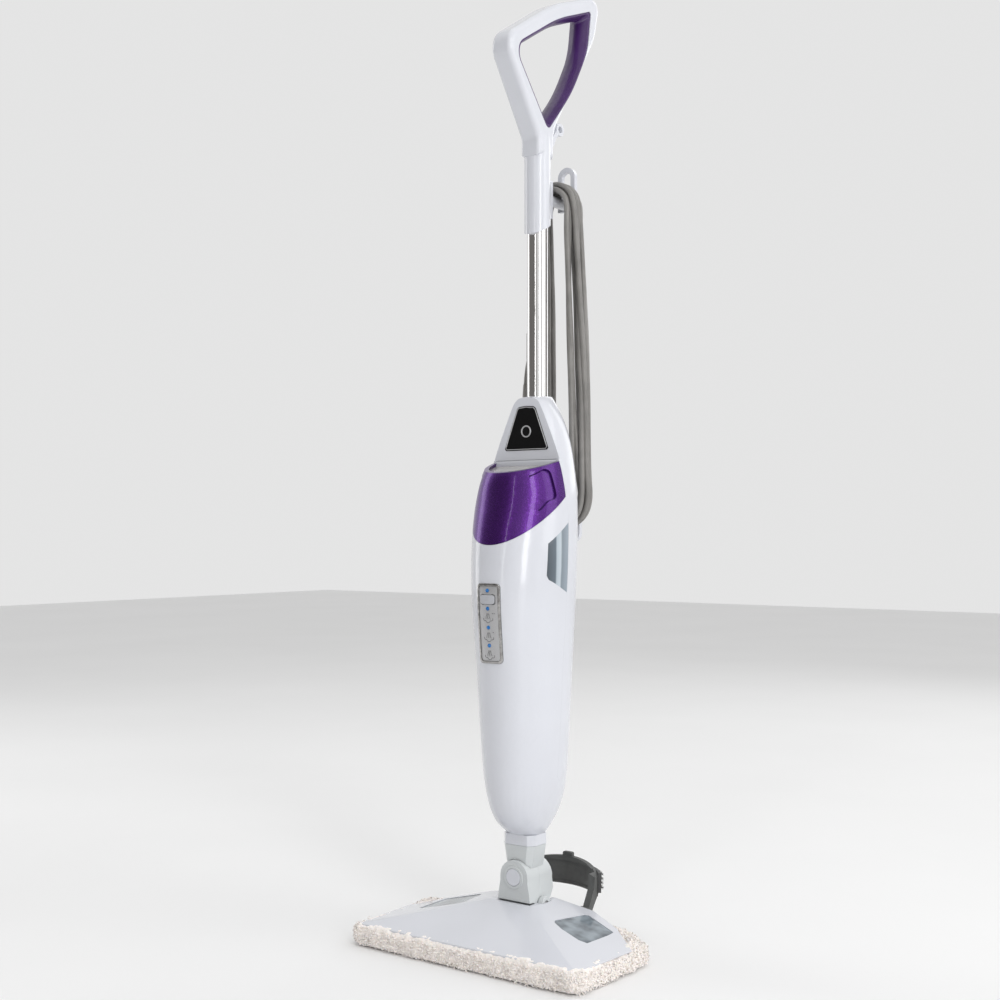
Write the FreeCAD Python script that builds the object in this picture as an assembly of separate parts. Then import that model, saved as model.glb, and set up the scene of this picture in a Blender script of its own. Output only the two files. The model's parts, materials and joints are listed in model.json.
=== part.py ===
import FreeCAD, Part

import math
import os

# Upright steam mop with a triangular foot, a swivelling neck and a looped handle.
# Millimetres. The origin is on the floor under the neck, +Z is up, -Y is the front.

V = FreeCAD.Vector

# ---- driving dimensions -------------------------------------------------------------
WALL = 3.0                      # moulded housing wall
GAP = 0.35                      # gap between pieces that move past each other
FIT = 0.05                      # radial clearance of a running pin

PAD_TOP = 26.0                  # rim of the mop pad
SHELL_RIM = 22.5                # lower rim of the foot shell
BASE_THICK = 4.0
FOOT_CREST = 52.5               # top of the foot beside the neck
CREST_FRONT = -34.0             # the crest's flat top
CREST_REAR = 22.0
CREST_HALF = 30.0
FRONT_SLOPE = 0.308             # fall of the foot's front face per mm
SIDE_SLOPE = 0.222              # fall of the foot's side faces per mm

LEAN_Z = 50.0                   # height of the hinge that lets the mop lean back
AXLE_R = 4.0
SWIVEL_Z = 82.0                 # height of the hinge that lets it roll sideways
YOKE_ARCH_R = 20.0
YOKE_FRONT = -23.5
YOKE_REAR = 28.0
TONGUE_HALF = 8.0
SLOT_HALF = 16.3                # room for the tongue to swing
SEAM_Z = 119.0                  # seam round the neck
COLLAR_SEAM = (133.0, 138.0)    # top of the collar, at the front and at the rear

TANK_BACK = 0.8                 # the tank's flat back
COVER_PLANE = 2.5               # the flat front of the upper cover
TANK_LOW_Z = 477.0              # lowest point of the tank's edge, at the front
TANK_LOW_Y = -72.0
TANK_EDGE_SLOPE = 0.773
TANK_TOP_BACK = 575.0
TANK_TOP_SLOPE = 0.27
COVER_LOW = 578.0

TUBE_R = 12.7
TUBE_Y = 25.5
SLEEVE_R = 16.0
SLEEVE_LOW = 848.0
SLEEVE_TOP = 970.0

PANEL_HALF_W = 16.5
PANEL_LOW = 339.0
PANEL_HIGH = 432.0
BEZEL_WIDTH = 3.0
LED_HEIGHTS = (424.0, 403.0, 381.0, 360.0)
BUTTON_Z = 413.5

SCRUB_PIVOT = (45.0, 36.0)      # Y, Z of the scrubber's hinge
SCRUB_CENTRE_Y = 17.0
SCRUB_R = 80.0
LEG_IN = 54.2                   # the scrubber's two legs
LEG_OUT = 62.8

HOOK_Z = 899.0
LOW_HOOK_Z = 520.0
CORD_D = 7.0
HANK_LEAN = 1.75                # degrees that the hank leans back between the hooks
RELIEF_X = -19.5                # where the cord leaves the upper cover
RELIEF_Y = 30.0
RELIEF_R = 5.2

LID_Y = -25.0                   # the tank's cap, underneath
CAP_R = 15.0
PLUG_R = 13.0
STEM_R = 4.0

# body sections: height, half width, front Y, rear Y, Y of the widest place
SECTIONS = (
    (130.5, 21.5, -17.0, 17.0, 0.0),
    (138.0, 25.5, -29.5, 27.0, -1.0),
    (147.0, 29.5, -40.5, 35.0, -2.0),
    (170.0, 37.0, -53.0, 47.0, -2.0),
    (218.0, 44.0, -61.0, 52.0, -2.0),
    (338.0, 51.0, -69.5, 55.0, -2.0),
    (460.0, 58.0, -74.5, 56.0, -2.0),
    (510.0, 58.5, -66.0, 56.0, -1.0),
    (535.0, 57.5, -59.5, 56.0, 1.0),
    (560.0, 53.0, -53.0, 56.0, 6.0),
    (598.0, 43.0, -26.0, 55.0, 18.0),
    (638.0, 28.0, -10.0, 47.0, 20.0),
    (655.0, 16.5, 9.0, 42.0, 25.5),
)
BACK_POWER = 2.8                # how square the rear half of a section is


# ---- small helpers ------------------------------------------------------------------
def box(x0, x1, y0, y1, z0, z1):
    return Part.makeBox(x1 - x0, y1 - y0, z1 - z0, V(x0, y0, z0))


def rod(start, axis, radius, length):
    return Part.makeCylinder(radius, length, V(*start), V(*axis))


def pipe(start, axis, outer, inner, length):
    return rod(start, axis, outer, length).cut(rod(start, axis, inner, length))


def prism_x(points, x0, x1):
    """A (Y, Z) polygon pushed along X."""
    corners = [V(x0, y, z) for y, z in points]
    face = Part.Face(Part.makePolygon(corners + corners[:1]))
    return face.extrude(V(x1 - x0, 0, 0))


def prism_y(points, y0, y1):
    """An (X, Z) polygon pushed along Y."""
    corners = [V(x, y0, z) for x, z in points]
    face = Part.Face(Part.makePolygon(corners + corners[:1]))
    return face.extrude(V(0, y1 - y0, 0))


def prism_z(points, z0, z1):
    """An (X, Y) polygon pushed along Z."""
    corners = [V(x, y, z0) for x, y in points]
    face = Part.Face(Part.makePolygon(corners + corners[:1]))
    return face.extrude(V(0, 0, z1 - z0))


def rounded(shape, radius, pick):
    """Fillet the edges that pick(edge) chooses."""
    edges = [edge for edge in shape.Edges if pick(edge)]
    return shape.makeFillet(radius, edges)


def upright_edge(edge):
    low, high = edge.BoundBox.ZMin, edge.BoundBox.ZMax
    return high - low > 1.0 and edge.BoundBox.XLength < 1e-4 and edge.BoundBox.YLength < 1e-4


def along_y(edge):
    size = edge.BoundBox
    return size.YLength > 0.5 and size.XLength < 1e-4 and size.ZLength < 1e-4


def along_x(edge):
    size = edge.BoundBox
    return size.XLength > 0.5 and size.YLength < 1e-4 and size.ZLength < 1e-4


def mirrored(points):
    """A right-hand half outline closed with its mirror image."""
    return list(points) + [(-x, y) for x, y in reversed(points) if abs(x) > 1e-6]


def mirror_x(shape):
    return shape.mirror(V(0, 0, 0), V(1, 0, 0))


def both_sides(shape):
    return Part.makeCompound([shape, mirror_x(shape)])


def rounded_wire(corners, place):
    """A closed wire of straight runs and tangent arcs.

    corners holds (u, v, radius), and place(u, v) gives the point in space.
    """
    enters, arcs = [], []
    count = len(corners)
    for i, (u, v, radius) in enumerate(corners):
        corner = V(u, v, 0)
        back = V(*corners[i - 1][:2], 0) - corner
        ahead = V(*corners[(i + 1) % count][:2], 0) - corner
        half_turn = (math.pi - back.getAngle(ahead)) / 2
        back.normalize()
        ahead.normalize()
        reach = radius * math.tan(half_turn)
        middle = back + ahead
        middle.normalize()
        nearest = corner + middle * (radius / math.cos(half_turn) - radius)
        enters.append(corner + back * reach)
        arcs.append((nearest, corner + ahead * reach))
    edges = []
    for i, (nearest, leave) in enumerate(arcs):
        following = enters[(i + 1) % count]
        edges.append(Part.Arc(*(place(p.x, p.y) for p in (enters[i], nearest, leave))).toShape())
        edges.append(Part.LineSegment(place(leave.x, leave.y), place(following.x, following.y)).toShape())
    return Part.Wire(edges)


def spline_wire(points):
    curve = Part.BSplineCurve()
    curve.interpolate(Points=points, PeriodicFlag=True)
    return Part.Wire([curve.toShape()])


def fused(shapes):
    shapes = list(shapes)
    whole = shapes[0].fuse(shapes[1:]) if len(shapes) > 1 else shapes[0]
    return whole.removeSplitter()


def largest(shape):
    return max(shape.Solids, key=lambda solid: solid.Volume)


def save(name, shape):
    solids = shape.Solids
    for solid in solids:
        if not solid.isValid() or not solid.isClosed():
            print("PROBLEM", name, solid.isValid(), solid.isClosed())
    whole = solids[0] if len(solids) == 1 else Part.makeCompound(solids)
    whole.exportStep(f"parts/{name}.step")
    limits = whole.BoundBox
    print(f"{name:22s} {len(solids):2d} solids  X {limits.XMin:7.1f} {limits.XMax:7.1f}  "
          f"Y {limits.YMin:7.1f} {limits.YMax:7.1f}  Z {limits.ZMin:7.1f} {limits.ZMax:7.1f}  "
          f"{whole.Volume / 1000:8.1f} cm3")


# ---- the body's outer form ----------------------------------------------------------
def section_wire(section, inset):
    z, half, front, rear, middle = section
    points = []
    steps = 32
    for i in range(steps):
        angle = 2 * math.pi * i / steps
        c, s = math.cos(angle), math.sin(angle)
        power = 2.0 / (BACK_POWER if s > 0 else 2.0)
        reach = (rear - middle) if s > 0 else (middle - front)
        x = (half - inset) * math.copysign(abs(c) ** power, c)
        y = middle + (reach - inset) * math.copysign(abs(s) ** power, s)
        points.append(V(x, y, z))
    return spline_wire(points)


FORMS = {}


def body_form(inset):
    """The body's outer form, shrunk inward by inset (negative grows it)."""
    if inset not in FORMS:
        wires = [section_wire(section, inset) for section in SECTIONS]
        FORMS[inset] = Part.makeLoft(wires, True, False)
    return FORMS[inset]


def skin(outer, inner):
    return body_form(outer).cut(body_form(inner))


def tank_edge_z(y):
    return TANK_LOW_Z + (y - TANK_LOW_Y) * TANK_EDGE_SLOPE


def front_region(gap):
    """The side outline of the front shell; gap lowers its edge under the tank."""
    seam = [(-32, 140), (-19, 161), (12, 196), (6, 202), (6, 505)]
    edge = [(2, tank_edge_z(2) - gap), (-95, tank_edge_z(-95) - gap)]
    return prism_x(seam + edge + [(-95, 120)], -80, 80)


def tank_region(gap):
    """The space above the tank's slanted edge and below its sloping top."""
    back = TANK_BACK
    points = [(back, tank_edge_z(back) + gap), (back, TANK_TOP_BACK),
              (-95, TANK_TOP_BACK + (-95 - back) * TANK_TOP_SLOPE), (-95, tank_edge_z(-95) + gap)]
    return prism_x(points, -80, 80)


SCREW_PLACES = [(side * x, z) for x, z in ((20, 232), (24, 335), (30, 420)) for side in (1, -1)]
WINDOW = [(6, 503), (-29.5, 478), (-31, 441), (-28, 436), (-19, 432), (6, 420)]


# ---- foot ---------------------------------------------------------------------------
FOOT_HALF = [(0, -125), (150, -125), (156, -110), (162, -22), (119, 15), (69, 35), (47, 44), (0, 46)]
PAD_HALF = [(0, -136), (154, -136), (165, -125), (169, 3), (165, 14), (155, 21), (128, 44), (60, 57), (0, 62)]
CHEEK_IN = 24.2                 # the hinge cheeks, beside the yoke
CHEEK_OUT = 31.0
CHEEK_R = 9.0


FOOT_MIDDLE_Y = -42.0


def drawn_in(points, inset):
    """Move an outline's points toward the foot's middle by inset."""
    moved = []
    for x, y in points:
        dy = y - FOOT_MIDDLE_Y
        share = 1.0 - inset / math.hypot(x, dy)
        moved.append((x * share, FOOT_MIDDLE_Y + dy * share))
    return moved


def foot_form(inset, floor_z):
    """Fan-shaped hump with a front face, two side faces and a steep back."""
    solid = prism_z(mirrored(drawn_in(FOOT_HALF, inset)), floor_z, FOOT_CREST - inset)
    crest = FOOT_CREST - inset * 1.05
    far, high = 400, 300
    y = CREST_FRONT
    front = [(y, crest), (y - far, crest - far * FRONT_SLOPE), (y - far, high), (y, high)]
    solid = solid.cut(prism_x(front, -far, far))
    x = CREST_HALF
    side = prism_y([(x, crest), (x + far, crest - far * SIDE_SLOPE), (x + far, high), (x, high)], -far, far)
    solid = solid.cut(side).cut(mirror_x(side))
    y = CREST_REAR
    back = [(y, crest), (y + far, crest - far), (y + far, high), (y, high)]
    return solid.cut(prism_x(back, -far, far))


def window_outline(g):
    """The foot's right-hand window, seen from above, grown by g."""
    return [(66 - g, -34), (76 - g, 13 + g), (80, 16 + g), (123 + g, 2 + g), (124 + g, -10),
            (122 + g, -52 - g), (112, -54 - g), (84, -47 - g), (70, -40 - g)]


def foot_parts():
    shell = foot_form(0.0, SHELL_RIM).cut(foot_form(WALL, SHELL_RIM - 5))
    shell = shell.cut(both_sides(prism_z(window_outline(0), 20, 70)))
    shell = shell.cut(box(-CHEEK_IN, CHEEK_IN, -25, 60, 30, 70))
    shell = shell.cut(both_sides(rod((24, 0, LEAN_Z), (1, 0, 0), CHEEK_R + 0.7, CHEEK_OUT - 23.3)))
    shell = shell.cut(both_sides(box(47.7, LEG_OUT + 0.7, 30, 70, 20, 48)))
    save("foot_shell", largest(shell))

    pane = foot_form(0.5, SHELL_RIM).cut(foot_form(2.6, SHELL_RIM - 5))
    pane = pane.common(prism_z(window_outline(-0.1), 20, 70))
    save("foot_window_right", pane)
    save("foot_window_left", mirror_x(pane))

    floor_z = SHELL_RIM + 0.8 + BASE_THICK
    base = foot_form(WALL + 0.1, SHELL_RIM + 0.8).common(box(-200, 200, -200, 200, 0, floor_z))
    screws = foot_screws()
    base = base.cut(Part.makeCompound(screws))
    for x in range(-120, 121, 20):
        base = base.cut(rod((x, -75, 15), (0, 0, 1), 1.6, 20))
    save("foot_base", base)
    save("foot_screws", Part.makeCompound(screws))

    manifold = rod((-95, -75, floor_z + 3), (1, 0, 0), 3.0, 190)
    feed = rod((0, -75, floor_z + 3), (0, 1, 0), 3.0, 52)
    arms = [rod((0, -75, floor_z + 3), (math.cos(a), math.sin(a), 0), 2.6, 95) for a in
            (math.radians(24), math.radians(156))]
    save("steam_manifold", fused([manifold, feed] + arms))

    strips = [box(-110, 110, y - 9, y + 9, SHELL_RIM - 0.9, SHELL_RIM + 0.8) for y in (-105, -45)]
    strips.append(box(-90, 90, -12, 6, SHELL_RIM - 0.9, SHELL_RIM + 0.8))
    save("pad_strips", Part.makeCompound(strips))


def foot_screws():
    screws = []
    for x, y in ((-125, -60), (-40, 25), (40, 25), (125, -60)):
        head = rod((x, y, SHELL_RIM - 0.6), (0, 0, 1), 3.4, 1.4)
        screws.append(head.fuse(rod((x, y, SHELL_RIM - 0.6), (0, 0, 1), 1.6, 6)))
    return screws


def pad_part():
    pad = prism_z(mirrored(PAD_HALF), 0, PAD_TOP)
    pad = pad.makeFillet(6.0, [e for e in pad.Edges if upright_edge(e)])
    pad = pad.makeFillet(5.0, [e for e in pad.Edges if e.BoundBox.ZLength < 1e-3])
    recess = prism_z(mirrored(drawn_in(FOOT_HALF, -0.6)), SHELL_RIM - 1.0, 40)
    save("mop_pad", pad.cut(recess))


def hinge_parts():
    floor_z = SHELL_RIM + 0.8 + BASE_THICK
    cheek = rod((CHEEK_IN, 0, LEAN_Z), (1, 0, 0), CHEEK_R, CHEEK_OUT - CHEEK_IN)
    cheek = cheek.fuse(box(CHEEK_IN, CHEEK_OUT, -CHEEK_R, CHEEK_R, floor_z, LEAN_Z))
    plate = box(-CHEEK_OUT, CHEEK_OUT, -CHEEK_R, CHEEK_R, floor_z, floor_z + 4)
    bracket = fused([cheek, mirror_x(cheek), plate])
    axle = rod((0.2 - CHEEK_OUT, 0, LEAN_Z), (1, 0, 0), AXLE_R, 2 * CHEEK_OUT - 0.4)
    save("hinge_bracket", bracket.cut(rod((-40, 0, LEAN_Z), (1, 0, 0), AXLE_R, 80)))
    save("lean_axle", axle)

    y, z = SCRUB_PIVOT
    lug = box(48, 53.6, y - 10, y + 4, floor_z + 0.1, z + 4)
    lug = lug.fuse(rod((53, y, z), (1, 0, 0), 2.5, 9.4)).removeSplitter()
    save("scrubber_lugs", both_sides(lug))


def scrubber_parts():
    y, z = SCRUB_PIVOT
    low, high = 51.0, 86.0
    centre = (0, SCRUB_CENTRE_Y)

    def arc_wall(outer, inner, z0, z1, cut_y):
        wall = pipe((centre[0], centre[1], z0), (0, 0, 1), outer, inner, z1 - z0)
        return wall.common(box(-90, 90, cut_y, 140, z0, z1))

    panel = arc_wall(SCRUB_R - 2, SCRUB_R - 5, low, high - 4, 62)
    band = arc_wall(SCRUB_R - 1, SCRUB_R - 7, high - 6, high, 60)
    lower_band = arc_wall(SCRUB_R - 2, SCRUB_R - 6, low, low + 3, 62)
    legs = []
    for side in (1, -1):
        outline = [(y - 5.5, z - 1), (y - 3.5, z - 5), (y + 3.5, z - 5), (y + 7, z + 2),
                   (66, 56), (71, 66), (72, high), (57, high), (55, 62)]
        leg = prism_x(outline, LEG_IN, LEG_OUT)
        leg = leg.fuse(rod((LEG_IN, y, z), (1, 0, 0), 5.8, LEG_OUT - LEG_IN))
        if side < 0:
            leg = mirror_x(leg)
        legs.append(leg)
    arch = rod((0, -10, high - 190), (0, 1, 0), 190, 200)
    tab = box(-7, 7, SCRUB_CENTRE_Y + SCRUB_R - 6, SCRUB_CENTRE_Y + SCRUB_R - 1.4, high - 3, high + 5)
    tab = rounded(tab, 2.0, lambda e: along_y(e) and e.BoundBox.ZMin > high)
    frame = fused([panel, band, lower_band] + legs).common(arch).fuse(tab).removeSplitter()
    bore = rod((-70, y, z), (1, 0, 0), 2.5 + FIT, 140)
    save("scrubber_frame", frame.cut(bore))

    backing = arc_wall(SCRUB_R + 2, SCRUB_R - 2, 55, 79, 64)
    rows = [backing]
    for row in range(3):
        rows.append(arc_wall(SCRUB_R + 6.5, SCRUB_R + 1.5, 57.5 + row * 7.5, 62 + row * 7.5, 70))
    save("scrubber_bristles", fused(rows).cut(frame))


# ---- yoke ---------------------------------------------------------------------------
def yoke_parts():
    side = []
    for i in range(13):
        angle = math.pi * i / 12
        side.append((YOKE_ARCH_R * math.cos(angle), SWIVEL_Z + YOKE_ARCH_R * math.sin(angle)))
    right = [(23.4, 38), (23.4, 52), (22.5, 62), (YOKE_ARCH_R, 76)]
    outline = side + [(-x, z) for x, z in reversed(right)] + right
    block = prism_y(outline, YOKE_FRONT, YOKE_REAR)
    profile = [(YOKE_FRONT, 54), (YOKE_FRONT, 110), (20, 110), (YOKE_REAR, 80), (27, 64), (20, 54),
               (12, 50), (12, 44), (6, 38.5), (-6, 38.5), (-12, 44), (-14, 53.2)]
    block = block.common(prism_x(profile, -40, 40))
    slot = box(-SLOT_HALF, SLOT_HALF, -TONGUE_HALF - 0.4, TONGUE_HALF + 0.4, SWIVEL_Z - 16, 130)
    block = block.cut(slot)
    block = block.cut(rod((-40, 0, LEAN_Z), (1, 0, 0), AXLE_R + FIT, 80))
    for i in range(4):
        groove = box(20.4, 30, -2.5 + i * 5.2, -0.3 + i * 5.2, 79, 92)
        block = block.cut(both_sides(groove))
    boss_front = rod((0, YOKE_FRONT - 1.6, SWIVEL_Z), (0, 1, 0), 13.5, 1.6)
    boss_rear = rod((0, YOKE_REAR - 4, SWIVEL_Z - 4), (0, 1, 0), 9, 4)
    block = fused([block, boss_front])
    block = block.cut(rod((0, YOKE_FRONT - 3, SWIVEL_Z), (0, 1, 0), 10.4, 4.4))
    pin_bore = rod((0, YOKE_FRONT - 3, SWIVEL_Z), (0, 1, 0), 5.0, 60)
    block = block.cut(pin_bore)
    split = box(-40, 40, -60, 1.0, 0, 140)
    save("yoke_front", block.common(split))
    save("yoke_rear", block.cut(split))
    cap = rod((0, YOKE_FRONT - 2.2, SWIVEL_Z), (0, 1, 0), 10.1, 3.6)
    cap = cap.makeFillet(0.8, [e for e in cap.Edges if e.BoundBox.YMax < YOKE_FRONT - 2.1])
    save("pivot_cap", cap)
    save("swivel_pin", rod((0, YOKE_FRONT + 1.4, SWIVEL_Z), (0, 1, 0), 5.0, 47))


# ---- neck ---------------------------------------------------------------------------
def neck_wire(z, hx, hy, chamfer):
    half = [(hx, -hy + chamfer), (hx, hy - chamfer), (hx - chamfer, hy)]
    points = [(hx - chamfer, -hy)] + half
    points += [(-x, y) for x, y in reversed(points)]
    corners = [V(x, y, z) for x, y in points]
    return Part.makePolygon(corners + corners[:1])


def neck_parts():
    lower = Part.makeLoft([neck_wire(88, 16.0, 16.6, 5), neck_wire(97, 18.8, 17.4, 6),
                           neck_wire(SEAM_Z, 22.5, 18.5, 7)], True, True)
    lower = lower.cut(rod((0, -40, SWIVEL_Z), (0, 1, 0), YOKE_ARCH_R + GAP, 80))
    tongue = rod((0, -TONGUE_HALF, SWIVEL_Z), (0, 1, 0), 14.0, 2 * TONGUE_HALF)
    web = box(-6, 6, -TONGUE_HALF, TONGUE_HALF, SWIVEL_Z, 106)
    lower = fused([lower, tongue, web])
    lower = lower.cut(rod((0, -40, SWIVEL_Z), (0, 1, 0), 5.0 + FIT, 80))
    channel = rod((0, 0, 98), (0, 0, 1), 4.6, 60)
    lower = lower.cut(rod((0, 0, 106), (0, 0, 1), 9.0, 30))
    save("neck_lower", lower.cut(channel))
    ends = [neck_wire(SEAM_Z + 0.3, 22.7, 18.6, 7), neck_wire(132, 22.4, 18.4, 7)]
    collar = Part.makeLoft(ends, True, True)
    collar = fused([collar, body_form(0.0)]).common(collar_region())
    collar = collar.cut(rod((0, 0, 110), (0, 0, 1), 9.0, 40))
    save("neck_collar", collar)


def collar_region():
    """Below the slanted seam between the collar and the body."""
    front, rear = COLLAR_SEAM
    return prism_x([(-60, 100), (-60, front), (-20, front), (20, rear), (60, rear), (60, 100)], -70, 70)


# ---- body shells --------------------------------------------------------------------
def shell_parts():
    whole = skin(0.0, WALL).cut(collar_region())
    lid = box(-90, 90, -100, 100, COVER_LOW, 700)
    above_tank = prism_x([(TANK_BACK + 0.5, 520), (TANK_BACK + 0.5, 700), (-100, 700), (-100, 480)], -90, 90)
    window = prism_x(WINDOW, -90, 90)
    front = whole.common(front_region(0.4)).cut(lid).cut(window)
    save("front_shell", front.cut(panel_prism(0.0, -100, -30)))

    rear = whole.cut(front_region(0.0)).cut(tank_region(-60.0)).cut(above_tank).cut(lid).cut(window)
    rear = rear.cut(rod((0, 40, LOW_HOOK_Z), (0, 1, 0), 6.0, 40))
    for x, z in SCREW_PLACES:
        rear = rear.cut(rod((x, 20, z), (0, 1, 0), 1.6, 60))
        rear = rear.cut(rod((x, 20, z), (0, 1, 0), 3.4, 60).common(skin(-1.0, 1.9)))
    save("rear_shell", largest(rear))

    pane = skin(0.3, 2.4).common(prism_x([(y * 0.997, z) for y, z in WINDOW], 0, 90))
    save("side_window_right", pane)
    save("side_window_left", mirror_x(pane))

    top = body_form(0.0).common(box(-80, 80, COVER_PLANE, 100, COVER_LOW, 700))
    hollow = body_form(WALL).common(box(-80, 80, COVER_PLANE + WALL, 100, COVER_LOW - 5, 651))
    top = top.cut(hollow)
    top = top.cut(rod((0, TUBE_Y, 500), (0, 0, 1), TUBE_R, 300))
    top = top.cut(rod((RELIEF_X, RELIEF_Y, 600), (0, 0, 1), RELIEF_R, 100))
    top = top.cut(badge_prism(0.0, COVER_PLANE - 1, COVER_PLANE + 1.2))
    save("upper_cover", largest(top))
    save("badge", badge_prism(-0.15, COVER_PLANE - 0.7, COVER_PLANE + 1.2))


def badge_prism(grow, y0, y1):
    points = [(31.8 + grow, 592 - grow), (30, 589.5 - grow), (-30, 589.5 - grow), (-31.8 - grow, 592 - grow),
              (-13.8 - grow, 639.5 + grow), (-11, 642 + grow), (0, 643 + grow), (11, 642 + grow),
              (13.8 + grow, 639.5 + grow)]
    return prism_y(points, y0, y1)


def panel_prism(inset, y0, y1):
    w = PANEL_HALF_W - inset
    low, high = PANEL_LOW + inset, PANEL_HIGH - inset
    solid = prism_y([(-w, low), (w, low), (w, high), (-w, high)], y0, y1)
    return rounded(solid, 5.0 - inset * 0.5, along_y)


def button_prism(inset, y0, y1):
    w, h = 10.0 - inset, 5.6 - inset
    points = [(-w, BUTTON_Z - h), (w, BUTTON_Z - h), (w, BUTTON_Z + h), (-w, BUTTON_Z + h)]
    return rounded(prism_y(points, y0, y1), 3.0, along_y)


def panel_parts():
    bezel = skin(-1.4, 3.0).common(panel_prism(0.15, -100, -30)).cut(panel_prism(BEZEL_WIDTH, -100, -30))
    save("panel_bezel", bezel)
    plate = skin(-0.4, 2.2).common(panel_prism(BEZEL_WIDTH + 0.15, -100, -30))
    plate = plate.cut(button_prism(0, -100, -30))
    lens_prisms = [rod((0, -100, z), (0, 1, 0), 2.3, 70) for z in LED_HEIGHTS]
    save("panel_plate", plate.cut(Part.makeCompound(lens_prisms)))
    lenses = [skin(-1.0, 2.8).common(rod((0, -100, z), (0, 1, 0), 2.2, 70)) for z in LED_HEIGHTS]
    save("led_lenses", Part.makeCompound([s for lens in lenses for s in lens.Solids]))
    save("steam_button", skin(-1.9, 2.0).common(button_prism(0.3, -100, -30)))
    board = box(-14, 14, -61.5, -60, 342, 429)
    switch = box(-4, 4, -64.5, -61.5, BUTTON_Z - 4, BUTTON_Z + 4)
    save("circuit_board", fused([board, switch]))


# ---- tank ---------------------------------------------------------------------------
TANK_WALL = 2.4
RECESS_DEPTH = 3.2
# finger recess in the tank's side: (Y, Z, corner radius)
RECESS = [(-41.5, 556.5, 3), (-17, 568.5, 6), (-14.5, 531, 6), (-26, 527.5, 8), (-43.5, 509.5, 4)]


def finger_recess():
    """A D-shaped recess of even depth in both sides."""
    outline = rounded_wire(RECESS, lambda y, z: V(-90, y, z))
    return Part.Face(outline).extrude(V(180, 0, 0)).cut(body_form(RECESS_DEPTH))


def tank_column(inset, low, high):
    """The reservoir's straight lower part, drawn in by inset."""
    outline = section_wire((low, 50.0, -58.0, 56.0, -2.0), inset)
    block = box(-80, 80, inset - 55, TANK_BACK - 0.2 - inset, low, high)
    return Part.Face(outline).extrude(V(0, 0, high - low)).common(block)


def tank_parts():
    outer = body_form(0.0).common(tank_region(0.0))
    front = outer.cut(body_form(5.0))
    front = front.cut(finger_recess())
    save("tank_front", largest(front))

    tall = body_form(5.2).common(tank_region(0.0))
    sloped = prism_x([(-100, 300), (-100, TANK_TOP_BACK - 4 - 100 * TANK_TOP_SLOPE),
                      (TANK_BACK - 0.2, TANK_TOP_BACK - 4), (TANK_BACK - 0.2, 300)], -90, 90)
    tall = tall.common(sloped)
    lower = body_form(7.5).common(tank_column(0.0, 411, 545))
    hollow = body_form(7.5 + TANK_WALL).common(tank_column(TANK_WALL, 413.5, 540))
    tank = fused([tall, lower]).cut(hollow)
    tank = tank.cut(rod((0, LID_Y, 400), (0, 0, 1), PLUG_R + GAP, 20))
    save("tank_reservoir", largest(tank))
    cap = fused([rod((0, LID_Y, 406.8), (0, 0, 1), CAP_R, 3.8), rod((0, LID_Y, 410.6), (0, 0, 1), PLUG_R, 7)])
    for turn in range(0, 360, 30):
        flute = rod((0, LID_Y - CAP_R, 400), (0, 0, 1), 1.2, 10.6)
        flute.rotate(V(0, LID_Y, 0), V(0, 0, 1), turn)
        cap = cap.cut(flute)
    stem = rod((0, LID_Y, 404.8), (0, 0, 1), STEM_R, 14.8)
    save("tank_cap", cap.cut(stem))
    save("tank_valve", fused([stem, rod((0, LID_Y, 417.6), (0, 0, 1), 7.0, 2.0)]))


# ---- inside the body ----------------------------------------------------------------
def inside_parts():
    floor = body_form(3.2).common(box(-80, 80, -54, COVER_PLANE + 2, 403, 406))
    floor = floor.cut(rod((0, LID_Y, 400), (0, 0, 1), 9.0, 10))
    back = body_form(3.2).common(box(-80, 80, COVER_PLANE, COVER_PLANE + 2, 403, 577.5))
    save("tank_bay", fused([floor, back]))
    inlet = pipe((0, LID_Y, 398), (0, 0, 1), 8.9, STEM_R + GAP, 8)
    inlet = inlet.fuse(rod((0, LID_Y, 392), (0, 0, 1), 8.9, 6)).removeSplitter()
    save("inlet_valve", inlet)
    boiler = rod((0, 2, 205), (0, 0, 1), 27.0, 110)
    boiler = boiler.makeFillet(6.0, [e for e in boiler.Edges if e.BoundBox.ZLength < 1e-3])
    boiler = boiler.fuse([rod((0, 2, 195), (0, 0, 1), 5.0, 12), rod((12, 2, 312), (0, 0, 1), 4.0, 12)])
    save("boiler", boiler.removeSplitter())
    clamps = [pipe((0, 2, z), (0, 0, 1), 30.0, 27.0, 8).fuse(both_wings(z)) for z in (225, 285)]
    save("boiler_clamps", Part.makeCompound([c.removeSplitter() for c in clamps]))
    pump = rod((0, -12, 350), (0, 0, 1), 15.0, 32).fuse([rod((0, -12, 342), (0, 0, 1), 4.0, 8),
                                                          rod((0, -12, 382), (0, 0, 1), 4.0, 4)])
    save("pump", pump.removeSplitter())
    save("pump_mount", pipe((0, -12, 360), (0, 0, 1), 18.0, 15.0, 12).fuse(
        box(-3, 3, 5.8, 51.5, 360, 372)).removeSplitter())
    save("inlet_hose", tube_through([(0, -12, 386), (0, -14, 388), (0, LID_Y, 390), (0, LID_Y, 392)], 2.6))
    save("feed_hose", tube_through([(0, -12, 342), (0, -11, 334), (11, 0, 330), (12, 2, 324)], 2.6))
    save("steam_hose", tube_through([(0, 2, 195), (0, 2, 175), (0, 0, 150), (0, 0, 107)], 4.0))
    save("thermostat", rod((0, 31.6, 255), (0, 1, 0), 8.0, 7))
    save("thermal_fuse", box(-16, -8, 33, 39, 236, 246))


def both_wings(z):
    return [box(29.5, 39, 0, 4, z, z + 8), box(-39, -29.5, 0, 4, z, z + 8)]


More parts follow.
